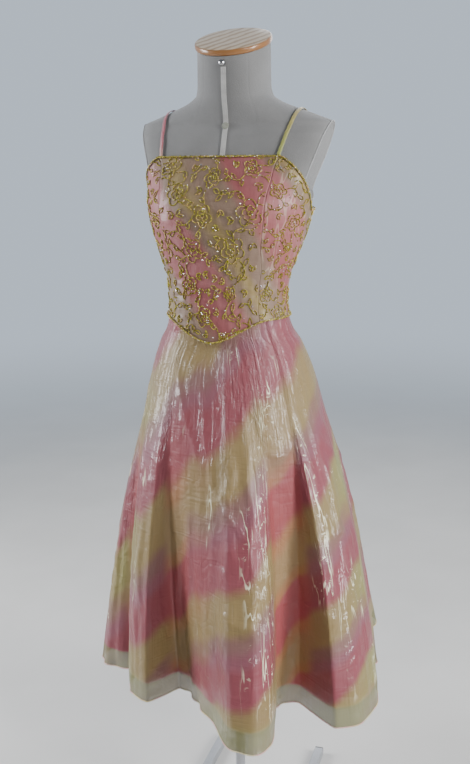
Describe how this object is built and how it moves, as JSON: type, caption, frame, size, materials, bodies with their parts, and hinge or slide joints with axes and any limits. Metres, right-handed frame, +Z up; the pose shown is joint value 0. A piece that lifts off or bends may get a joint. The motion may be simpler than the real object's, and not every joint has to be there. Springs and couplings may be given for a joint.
{
  "type": "prom dress on a dress form",
  "caption": "Long prom dress with a beaded strappy bodice and a flared organza skirt over a lining, worn by a limbless dress form on a steel stand.",
  "frame": {"origin": "on the floor under the middle of the stand's crossbar, on the pole's axis", "axes": "+Z up along the pole, -Y towards the front of the dress, +X towards the wearer's left"},
  "size_m": [0.6263, 0.7215, 1.6962],
  "materials": {
    "grey_cloth": "matte knit cover",
    "white_tape": "woven tape",
    "pine": "varnished",
    "chrome": "polished",
    "button_grey": "matte",
    "painted_steel": "grey enamel",
    "black_plastic": "matte",
    "beaded_organza": "beaded organza over satin",
    "gold_beading": "rows of small glass beads",
    "strap_organza": "turned organza tube",
    "organza": "crisp, shiny and sheer",
    "lining": "satin"
  },
  "bodies": {
    "root": {"form_torso": "grey_cloth", "form_neck_cap": "pine", "form_neck_knob": "chrome", "form_chest_button": "button_grey", "form_front_tape": "white_tape", "form_pole_socket": "painted_steel", "stand_pole": "painted_steel", "stand_collar": "painted_steel", "stand_crossbar": "painted_steel", "stand_bar_left": "painted_steel", "stand_bar_right": "painted_steel", "stand_plug_left_front": "black_plastic", "stand_plug_left_back": "black_plastic", "stand_plug_right_front": "black_plastic", "stand_plug_right_back": "black_plastic", "bodice_front": "beaded_organza", "bodice_side_left": "beaded_organza", "bodice_side_right": "beaded_organza", "bodice_back_left": "beaded_organza", "bodice_back_right": "beaded_organza", "bodice_top_edging": "gold_beading", "bodice_hem_edging": "gold_beading", "strap_left": "strap_organza", "strap_right": "strap_organza", "skirt_front": "organza", "skirt_back_left": "organza", "skirt_back_right": "organza", "lining_front": "lining", "lining_back_left": "lining", "lining_back_right": "lining"}
  },
  "joints": []
}
